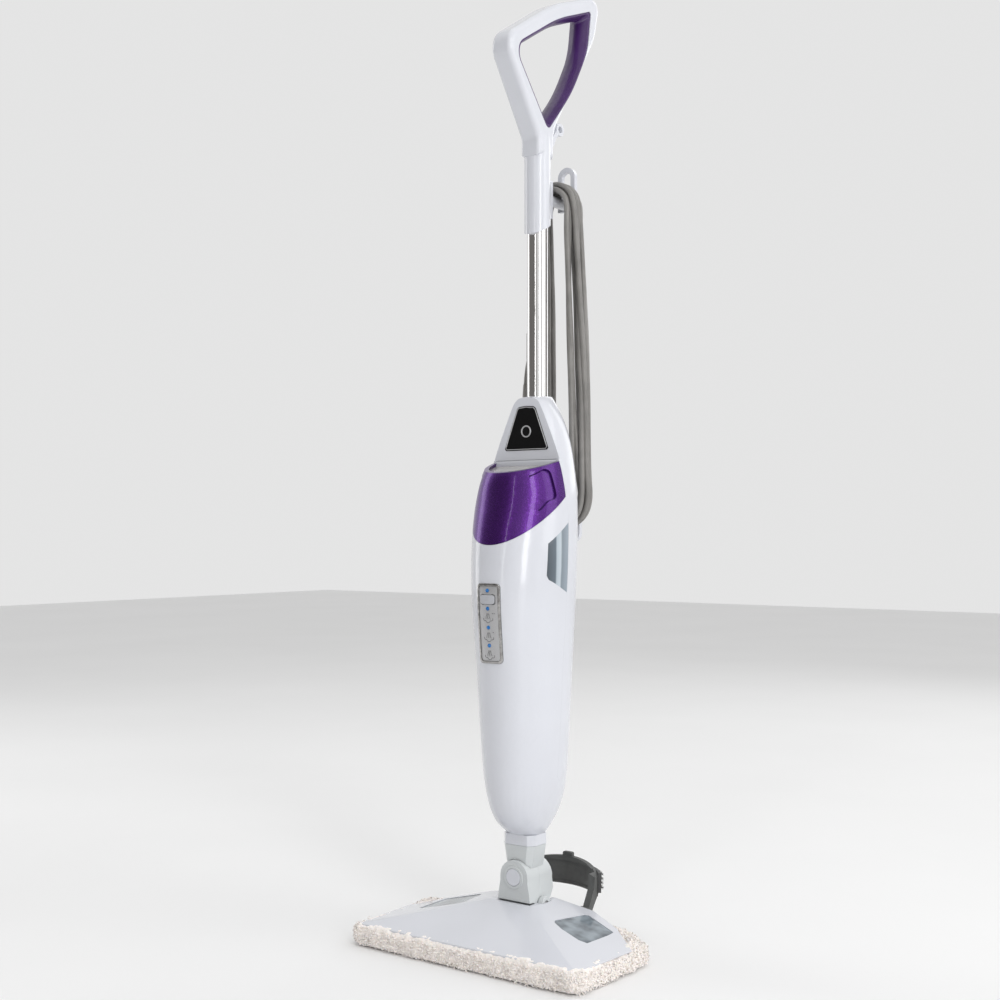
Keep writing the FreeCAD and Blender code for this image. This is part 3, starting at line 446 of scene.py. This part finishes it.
def hank_points():
    """The turns round the two hooks. They start and end on the far side, going up."""
    rng = random.Random(11)
    points = []

    def place(x, depth, z):
        points.append((HANK_X + x, depth + (LEAN_START - z) * HANK_LEAN, z))

    def end_arc(radius, z, depth, first_angle):
        outside = 1 / math.cos(math.pi / ARC_STEPS / 2)
        for i in range(ARC_STEPS + 1):
            angle = first_angle - math.pi * i / ARC_STEPS
            place(radius * outside * math.cos(angle), depth, z + radius * outside * math.sin(angle))

    def side(sign, heights, layer, start_y, end_y):
        bow = rng.uniform(-4.0, 5.0 if sign > 0 else 2.0)
        sway = rng.uniform(-2.0, 2.0) + (start_y - ROW_MIDDLE) * FAN
        for i, z in enumerate(heights):
            share = (i + 1) / (len(heights) + 1)
            swell = math.sin(math.pi * share)
            x = sign * (half_width(z, layer) + bow * swell) + rng.uniform(-0.7, 0.7)
            place(x, start_y + (end_y - start_y) * share + sway * swell + rng.uniform(-0.6, 0.6), z)

    for (y, layer), (next_y, next_layer) in zip(TURN_PLACES, TURN_PLACES[1:]):
        top_radius = half_width(HANK_TOP, layer)
        low_radius = half_width(HANK_LOW, layer) + rng.uniform(-1.0, 2.0)
        slack = rng.uniform(0.0, 2.5)
        side(-1, RISE if points else RISE[-1:], layer, y, y)
        end_arc(top_radius, HANK_TOP + layer * LAYER - top_radius, y, math.pi)
        side(1, RISE[::-1], layer, y, next_y)
        end_arc(low_radius, HANK_LOW - layer * LAYER - slack + low_radius, next_y, 0.0)
    return points


def build_cord():
    route = LEAD + hank_points() + TAIL
    curve = bpy.data.curves.new("power_cord", "CURVE")
    curve.dimensions = "3D"
    curve.bevel_depth = CORD_D / 2
    curve.bevel_resolution = 4
    curve.use_fill_caps = True
    spline = curve.splines.new("NURBS")
    spline.points.add(len(route) - 1)
    for point, (x, y, z) in zip(spline.points, route):
        point.co = (x * MM, y * MM, z * MM, 1.0)
    spline.order_u = 3
    spline.use_endpoint_u = True
    spline.resolution_u = 6
    cord = bpy.data.objects.new("power_cord", curve)
    bpy.context.scene.collection.objects.link(cord)
    curve.materials.append(MATERIALS["cord_grey"])
    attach(cord, "upright")
    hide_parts("cord_lead", "cord_hank")
    return cord


# ---- mop pad ------------------------------------------------------------------------
PAD_SHRINK = (0.99, 0.982, 0.90)    # room for the cloth to puff out
PAD_FLOOR = 0.0006
PAD_GRID = 0.005
HELD_HEIGHT = 0.0025                # the cloth is held on the floor below this
PUFF_PRESSURE = 4.0
PUFF_STIFFNESS = 25.0
PUFF_FRAMES = 14
PUFF_LIMIT = 0.004
PILE_FLOOR = 0.002                  # no tufts below this
CLUMP_DEPTH = 0.0018
SHELL_CLEARANCE = 0.0032            # tufts stay this far from the foot shell


def build_pad():
    """The fleece pad: the plain pad copied, puffed out as cloth, then given its tufts."""
    source = NODES["mop_pad"]
    low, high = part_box("mop_pad")
    mesh = source.data.copy()
    pad = bpy.data.objects.new("fleece_pad", mesh)
    bpy.context.scene.collection.objects.link(pad)
    centre = (low + high) / 2
    for vertex in mesh.vertices:
        vertex.co.x = centre.x + (vertex.co.x - centre.x) * PAD_SHRINK[0]
        vertex.co.y = centre.y + (vertex.co.y - centre.y) * PAD_SHRINK[1]
        vertex.co.z = max(vertex.co.z * PAD_SHRINK[2], PAD_FLOOR)
    bpy.context.view_layer.objects.active = pad
    pad.select_set(True)
    weld = pad.modifiers.new("weld", "WELD")
    weld.merge_threshold = 0.00002
    remesh = pad.modifiers.new("remesh", "REMESH")
    remesh.mode = "VOXEL"
    remesh.voxel_size = PAD_GRID
    for modifier in ("weld", "remesh"):
        bpy.ops.object.modifier_apply(modifier=modifier)
    start = [v.co.copy() for v in pad.data.vertices]
    inflate(pad, start)
    bpy.ops.object.select_all(action="DESELECT")
    bpy.context.view_layer.objects.active = pad
    pad.select_set(True)
    sub = pad.modifiers.new("fine", "SUBSURF")
    sub.levels = sub.render_levels = 1
    bpy.ops.object.modifier_apply(modifier="fine")
    roughen(pad)
    pad.data.materials.clear()
    pad.data.materials.append(MATERIALS["fleece"])
    for polygon in pad.data.polygons:
        polygon.use_smooth = True
    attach(pad, "foot")
    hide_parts("mop_pad")
    pad.select_set(False)
    return pad


def inflate(pad, start):
    """Cloth under pressure, held on the floor, with each point's move kept short."""
    held = pad.vertex_groups.new(name="held")
    for vertex in pad.data.vertices:
        if vertex.co.z < HELD_HEIGHT:
            held.add([vertex.index], 1.0, "REPLACE")
    cloth = pad.modifiers.new("Cloth", "CLOTH")
    settings = cloth.settings
    settings.use_pressure = True
    settings.uniform_pressure_force = PUFF_PRESSURE
    settings.effector_weights.gravity = 0.0
    settings.vertex_group_mass = "held"
    settings.tension_stiffness = settings.compression_stiffness = PUFF_STIFFNESS
    scene = bpy.context.scene
    for step in range(PUFF_FRAMES):
        scene.frame_set(step + 1)
    shaped = pad.evaluated_get(bpy.context.evaluated_depsgraph_get()).to_mesh()
    moved = []
    for before, vertex in zip(start, shaped.vertices):
        shift = vertex.co - before
        if shift.length > PUFF_LIMIT:
            shift *= PUFF_LIMIT / shift.length
        moved.append(before + shift)
    pad.evaluated_get(bpy.context.evaluated_depsgraph_get()).to_mesh_clear()
    pad.modifiers.remove(cloth)
    scene.frame_set(1)
    for vertex, place in zip(pad.data.vertices, moved):
        vertex.co = place


def roughen(pad):
    """Clumps and tufts of pile, pushed along the surface's normals."""
    mesh = pad.data
    normals = [v.normal.copy() for v in mesh.vertices]
    for vertex, normal in zip(mesh.vertices, normals):
        if vertex.co.z < PILE_FLOOR:
            continue
        p = vertex.co
        clump = noise.noise(p * 95.0) * CLUMP_DEPTH
        clump += noise.noise(p * 260.0 + Vector((7, 3, 1))) * CLUMP_DEPTH
        vertex.co = p + normal * clump
        vertex.co.z = max(vertex.co.z, 0.0004)


def build_pile():
    """Short curled tufts standing out of the pad's rim."""
    rng = random.Random(5)
    pad = bpy.data.objects["fleece_pad"]
    mesh = pad.data
    mesh.calc_loop_triangles()
    shell = node_tree("foot_shell")
    down = Vector((0, 0, -1))
    candidates = []
    for polygon in mesh.polygons:
        above = Vector((polygon.center.x, polygon.center.y, 0.2))
        gap = shell.find_nearest(polygon.center)[3]
        outside = shell.ray_cast(above, down)[0] is None and gap > SHELL_CLEARANCE
        if polygon.center.z > PILE_FLOOR and polygon.normal.z > -0.6 and outside:
            candidates.append(polygon)

    def build(bm):
        for polygon in candidates:
            normal = polygon.normal
            side = normal.orthogonal().normalized()
            other = normal.cross(side)
            turn = rng.uniform(0, 2 * math.pi)
            lean = side * math.cos(turn) + other * math.sin(turn)
            across = normal.cross(lean) * 0.0007
            base = polygon.center + side * rng.uniform(-0.001, 0.001) + other * rng.uniform(-0.001, 0.001)
            length = rng.uniform(0.0016, 0.0032)
            curl = [base - normal * 0.0006,
                    base + normal * length * 0.6 + lean * length * 0.35,
                    base + normal * length * 0.75 + lean * length,
                    base + normal * length * 0.3 + lean * length * 1.35]
            rows = []
            for point in curl:
                point = point.copy()
                point.z = max(point.z, 0.0003)
                rows.append((bm.verts.new(point - across), bm.verts.new(point + across)))
            for (a, b), (c, d) in zip(rows, rows[1:]):
                bm.faces.new((a, b, d, c))

    return add_mesh("pad_pile", build, "fleece", "foot")


# ---- printed marks and trim ----------------------------------------------------------
INK_R = 0.00032                 # half the width of a printed or inlaid line
LINE_SIDES = 6


def add_line(bm, points, radius, closed=False):
    """A fine raised line through the points, on a face that looks along -Y."""
    out = Vector((0, -1, 0))
    rings = []
    count = len(points)
    for i, point in enumerate(points):
        after = points[(i + 1) % count] if closed or i + 1 < count else point
        before = points[i - 1] if closed or i else point
        side = (after - before).normalized().cross(out)
        ring = []
        for corner in range(LINE_SIDES):
            angle = 2 * math.pi * corner / LINE_SIDES
            offset = side * radius * math.cos(angle) + out * radius * math.sin(angle)
            ring.append(bm.verts.new(point + offset))
        rings.append(ring)
    following = rings[1:] + (rings[:1] if closed else [])
    for a, b in zip(rings, following):
        for k in range(LINE_SIDES):
            n = (k + 1) % LINE_SIDES
            bm.faces.new((a[k], a[n], b[n], b[k]))
    if not closed:
        bm.faces.new(rings[0][::-1])
        bm.faces.new(rings[-1])


def laid_on(node, outline):
    """(X, Z) points in millimetres dropped onto the front of a node."""
    tree = node_tree(node)
    points = []
    for x, z in outline:
        hit = tree.ray_cast(Vector((x * MM, -0.3, z * MM)), Vector((0, 1, 0)))[0]
        if hit is not None:
            points.append(hit)
    return points


def arc(cx, cz, rx, rz, start, end, steps=8):
    angles = [math.radians(start + (end - start) * i / steps) for i in range(steps + 1)]
    return [(cx + rx * math.cos(a), cz + rz * math.sin(a)) for a in angles]


def steam_icon(z, dots):
    """Rising wisps over a scalloped cloud, with dots for the steam level."""
    cloud = arc(-4.4, z - 2.2, 2.3, 2.0, 150, 300) + arc(0, z - 4.2, 3.0, 2.2, 200, 340)
    cloud += arc(4.4, z - 2.2, 2.3, 2.0, 240, 390)
    lines = [cloud]
    for lean in (-1, 0, 1):
        wisp = [(lean * (1.2 + 0.32 * i) + 0.25 * math.sin(i * 1.3), z + 4.2 - i * 1.1) for i in range(7)]
        lines.append(wisp)
    for i in range(dots):
        lines.append(arc(6.4 + i * 2.2, z + 4.4, 0.35, 0.35, 0, 360, 6))
    return lines


ICONS = ((393.0, 2), (371.0, 1), (350.0, 0))    # each icon's height, and its dots
BUTTON_CORNER = 3.2
BUTTON_MARGIN = 0.7


def build_panel_marks():
    """A line round the button, and a steam icon under each lamp."""
    low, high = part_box("steam_button")
    centre = (low + high) / 2 / MM
    reach_x = (high.x - low.x) / 2 / MM + BUTTON_MARGIN - BUTTON_CORNER
    reach_z = (high.z - low.z) / 2 / MM + BUTTON_MARGIN - BUTTON_CORNER
    outline = []
    for sx, sz, start in ((1, 1, 0), (-1, 1, 90), (-1, -1, 180), (1, -1, 270)):
        outline += arc(centre.x + sx * reach_x, centre.z + sz * reach_z, BUTTON_CORNER, BUTTON_CORNER,
                       start, start + 90, 5)

    def build(bm):
        add_line(bm, laid_on("panel_plate", outline), INK_R, closed=True)
        for z, dots in ICONS:
            for line in steam_icon(z, dots):
                add_line(bm, laid_on("panel_plate", line), INK_R)

    return add_mesh("panel_marks", build, "dark_plastic", "upright")


def build_badge_trim():
    """A thin bright border and a plain ring on the badge."""
    mesh = NODES["badge"].data
    low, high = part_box("badge")
    front = {(round(v.co.x, 5), round(v.co.z, 5)) for v in mesh.vertices if v.co.y < low.y + 0.0001}
    middle = (low + high) / 2
    ordered = sorted(front, key=lambda p: math.atan2(p[1] - middle.z, p[0] - middle.x))
    border = []
    for x, z in ordered:
        corner = Vector((x, low.y, z))
        flat_middle = Vector((middle.x, low.y, middle.z))
        border.append(flat_middle + (corner - flat_middle) * 0.95)
    ring = [Vector((x * MM, low.y, z * MM)) for x, z in arc(0, middle.z / MM - 4, 6.5, 6.5, 0, 345, 23)]

    def build(bm):
        add_line(bm, border, 0.00055, closed=True)
        add_line(bm, ring, 0.0009, closed=True)

    return add_mesh("badge_trim", build, "silver_plate", "upright")


# ---- scrubber bristles --------------------------------------------------------------
BRUSH_CENTRE = Vector((0, 0.017, 0))
BRUSH_INNER = 0.0782
BRUSH_OUTER = 0.082
BACKING_STEPS = 48
BRISTLE_ROWS = 4
TUFTS_PER_ROW = 30
STRANDS = 9
STRAND_R = 0.00022


def build_bristles():
    """A curved backing with rows of separate bristles."""
    low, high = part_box("scrubber_bristles")
    rng = random.Random(3)

    def build(bm):
        start, end = math.radians(36), math.radians(144)
        rings = []
        for i in range(BACKING_STEPS + 1):
            angle = start + (end - start) * i / BACKING_STEPS
            c, s = math.cos(angle), math.sin(angle)
            ring = []
            for radius, z in ((BRUSH_INNER, low.z), (BRUSH_OUTER, low.z), (BRUSH_OUTER, high.z),
                              (BRUSH_INNER, high.z)):
                ring.append(bm.verts.new((BRUSH_CENTRE.x + radius * c, BRUSH_CENTRE.y + radius * s, z)))
            rings.append(ring)
        for a, b in zip(rings, rings[1:]):
            for k in range(4):
                bm.faces.new((a[k], a[(k + 1) % 4], b[(k + 1) % 4], b[k]))
        bm.faces.new(rings[0][::-1])
        bm.faces.new(rings[-1])
        for row in range(BRISTLE_ROWS):
            z = low.z + 0.004 + row * (high.z - low.z - 0.008) / (BRISTLE_ROWS - 1)
            for i in range(TUFTS_PER_ROW):
                angle = math.radians(42) + math.radians(96) * (i + 0.5 * (row % 2)) / TUFTS_PER_ROW
                for _ in range(STRANDS):
                    bristle(bm, angle + rng.uniform(-0.012, 0.012), z + rng.uniform(-0.001, 0.001))

    def bristle(bm, angle, z):
        out = Vector((math.cos(angle), math.sin(angle), 0))
        side = Vector((-out.y, out.x, 0))
        up = Vector((0, 0, 1))
        tip_shift = side * rng.uniform(-0.0012, 0.0012) + up * rng.uniform(-0.0012, 0.0012)
        root = BRUSH_CENTRE + out * (BRUSH_OUTER - 0.0005) + up * z
        tip = root + out * rng.uniform(0.0042, 0.0048) + tip_shift
        ends = []
        for point, size in ((root, STRAND_R), (tip, STRAND_R * 0.7)):
            ends.append([bm.verts.new(point + side * size * math.cos(a) + up * size * math.sin(a))
                         for a in (0, 2.094, 4.189)])
        for k in range(3):
            bm.faces.new((ends[0][k], ends[0][(k + 1) % 3], ends[1][(k + 1) % 3], ends[1][k]))
        bm.faces.new(ends[1])

    brush = add_mesh("scrub_brush", build, "bristle", "scrubber", smooth=False)
    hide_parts("scrubber_bristles")
    return brush


# ---- stage --------------------------------------------------------------------------
def soft_light(name, place, target, size, power):
    light = bpy.data.lights.new(name, "AREA")
    light.shape = "RECTANGLE"
    light.size, light.size_y = size
    light.energy = power
    lamp = bpy.data.objects.new(name, light)
    lamp.location = place
    lamp.rotation_euler = (Vector(target) - Vector(place)).to_track_quat("-Z", "Y").to_euler()
    bpy.context.scene.collection.objects.link(lamp)
    return lamp


def build_stage():
    bpy.ops.mesh.primitive_plane_add(size=14, location=(0, 0, 0))
    floor = bpy.context.object
    floor.name = "studio_floor"
    surface = Surface("studio_floor", (0.84, 0.84, 0.84), 0.6)
    surface.vary_colour(surface.noise(2.0), (0.83, 0.83, 0.83), (0.85, 0.85, 0.85))
    floor.data.materials.append(surface.material)
    world = bpy.data.worlds.new("studio")
    bpy.context.scene.world = world
    world.use_nodes = True
    sky = world.node_tree
    background = sky.nodes["Background"]
    background.inputs["Strength"].default_value = 0.78
    direction = sky.nodes.new("ShaderNodeTexCoord").outputs["Generated"]
    towards = sky.nodes.new("ShaderNodeVectorMath")
    towards.operation = "DOT_PRODUCT"
    towards.inputs[1].default_value = Vector((-0.45, -0.89, 0.0))
    sky.links.new(direction, towards.inputs[0])
    dim_side = sky.nodes.new("ShaderNodeValToRGB")
    dim_side.color_ramp.elements[0].position = 0.42
    dim_side.color_ramp.elements[0].color = (1, 1, 1, 1)
    dim_side.color_ramp.elements[1].position = 0.82
    dim_side.color_ramp.elements[1].color = (0.22, 0.212, 0.205, 1)
    sky.links.new(towards.outputs["Value"], dim_side.inputs["Fac"])
    sky.links.new(dim_side.outputs["Color"], background.inputs["Color"])
    soft_light("key", (2.3, -1.25, 1.5), (0, 0, 0.6), (0.55, 2.8), 24)
    soft_light("strip", (0.5, -2.6, 1.3), (0, 0, 0.6), (0.16, 2.4), 5)
    soft_light("right", (2.5, 0.7, 1.6), (0, 0, 0.6), (1.2, 2.4), 12)
    soft_light("left", (-2.5, -0.4, 1.4), (0, 0, 0.6), (0.8, 2.6), 12)
    soft_light("top", (0, -0.3, 3.2), (0, 0, 0), (2.4, 2.4), 9)
    soft_light("back", (0.2, 2.6, 1.8), (0, 0, 0.6), (2.0, 2.0), 12)


def build_camera():
    data = bpy.data.cameras.new("camera")
    data.lens = 50.0
    data.sensor_width = 36.0
    data.shift_y = 0.03
    data.clip_start = 0.01
    camera = bpy.data.objects.new("camera", data)
    camera.location = (0.9669, -1.3576, 0.4939)
    camera.rotation_euler = (math.radians(90), 0, math.radians(36.5))
    bpy.context.scene.collection.objects.link(camera)
    bpy.context.scene.camera = camera


def main():
    bpy.context.scene.view_settings.view_transform = "Standard"
    build_camera()
    dress_cad()
    build_cord()
    build_pad()
    build_pile()
    build_panel_marks()
    build_badge_trim()
    build_bristles()
    build_stage()


main()
